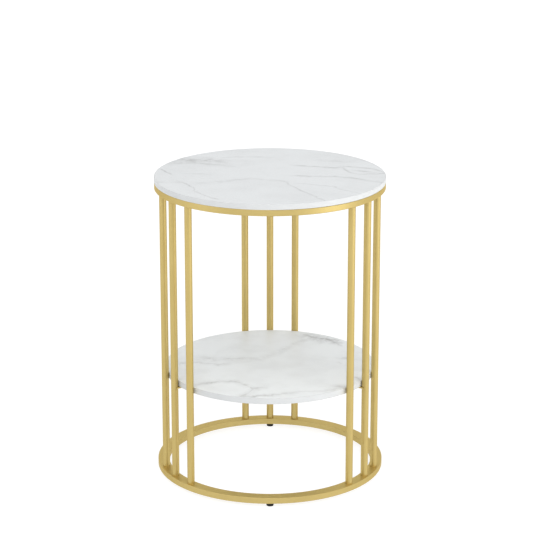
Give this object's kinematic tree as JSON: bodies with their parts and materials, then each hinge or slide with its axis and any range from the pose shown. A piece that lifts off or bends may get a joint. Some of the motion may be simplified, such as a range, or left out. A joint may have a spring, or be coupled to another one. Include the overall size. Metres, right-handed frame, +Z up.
{
  "type": "tiered side table",
  "caption": "Round two-tier side table: stone-look top and shelf carried by gold tube legs between two metal rings, standing on screw-adjustable feet.",
  "frame": {"origin": "on the floor, under the middle of the table", "axes": "+Z up, -Y towards the front gap between the groups of legs, +X to the right"},
  "size_m": [0.45, 0.45, 0.601],
  "materials": {
    "gold_finish": "satin gold lacquer on steel",
    "stone_laminate": "satin white stone-look laminate on fibreboard",
    "white_edging": "satin white edge strip",
    "zinc_steel": "bright zinc plate",
    "black_nylon": "moulded nylon"
  },
  "bodies": {
    "table_frame": {"top_board": "stone_laminate", "shelf_board": "stone_laminate", "top_edge_band": "white_edging", "shelf_edge_band": "white_edging", "top_ring": "gold_finish", "lower_ring": "gold_finish", "rear_leg_right": "gold_finish", "rear_leg_middle": "gold_finish", "rear_leg_left": "gold_finish", "left_leg_rear": "gold_finish", "left_leg_middle": "gold_finish", "left_leg_front": "gold_finish", "right_leg_front": "gold_finish", "right_leg_middle": "gold_finish", "right_leg_rear": "gold_finish", "rear_shelf_tab": "gold_finish", "left_shelf_tab": "gold_finish", "right_shelf_tab": "gold_finish", "leg_plugs_top": "zinc_steel", "leg_plugs_bottom": "zinc_steel", "leg_bolts_top": "zinc_steel", "outer_leg_bolts_bottom": "zinc_steel", "middle_leg_bolts_bottom": "zinc_steel", "shelf_screws": "zinc_steel", "top_screws": "zinc_steel", "foot_rivet_nuts": "zinc_steel"},
    "right_foot_pad": {"right_foot_pad": "black_nylon"},
    "right_foot_stud": {"right_foot_stud": "zinc_steel"},
    "rear_foot_pad": {"rear_foot_pad": "black_nylon"},
    "rear_foot_stud": {"rear_foot_stud": "zinc_steel"},
    "left_foot_pad": {"left_foot_pad": "black_nylon"},
    "left_foot_stud": {"left_foot_stud": "zinc_steel"},
    "front_foot_pad": {"front_foot_pad": "black_nylon"},
    "front_foot_stud": {"front_foot_stud": "zinc_steel"}
  },
  "joints": [
    {"name": "right_foot_travel", "type": "slide", "parent": "table_frame", "child": "right_foot_pad", "axis": [0, 0, -1], "range_m": [0, 0.005]},
    {"name": "right_foot_turn", "type": "hinge", "parent": "right_foot_pad", "child": "right_foot_stud", "pos_m": [0.214, 0, 0.0016], "axis": [0, 0, -1], "range_deg": [0, 1800]},
    {"name": "rear_foot_travel", "type": "slide", "parent": "table_frame", "child": "rear_foot_pad", "axis": [0, 0, -1], "range_m": [0, 0.005]},
    {"name": "rear_foot_turn", "type": "hinge", "parent": "rear_foot_pad", "child": "rear_foot_stud", "pos_m": [0, 0.214, 0.0016], "axis": [0, 0, -1], "range_deg": [0, 1800]},
    {"name": "left_foot_travel", "type": "slide", "parent": "table_frame", "child": "left_foot_pad", "axis": [0, 0, -1], "range_m": [0, 0.005]},
    {"name": "left_foot_turn", "type": "hinge", "parent": "left_foot_pad", "child": "left_foot_stud", "pos_m": [-0.214, 0, 0.0016], "axis": [0, 0, -1], "range_deg": [0, 1800]},
    {"name": "front_foot_travel", "type": "slide", "parent": "table_frame", "child": "front_foot_pad", "axis": [0, 0, -1], "range_m": [0, 0.005]},
    {"name": "front_foot_turn", "type": "hinge", "parent": "front_foot_pad", "child": "front_foot_stud", "pos_m": [0, -0.214, 0.0016], "axis": [0, 0, -1], "range_deg": [0, 1800]}
  ],
  "couplings": [
    {"joint": "right_foot_turn", "follows": "right_foot_travel", "rad_per_m": 6283.2},
    {"joint": "rear_foot_turn", "follows": "rear_foot_travel", "rad_per_m": 6283.2},
    {"joint": "left_foot_turn", "follows": "left_foot_travel", "rad_per_m": 6283.2},
    {"joint": "front_foot_turn", "follows": "front_foot_travel", "rad_per_m": 6283.2}
  ]
}
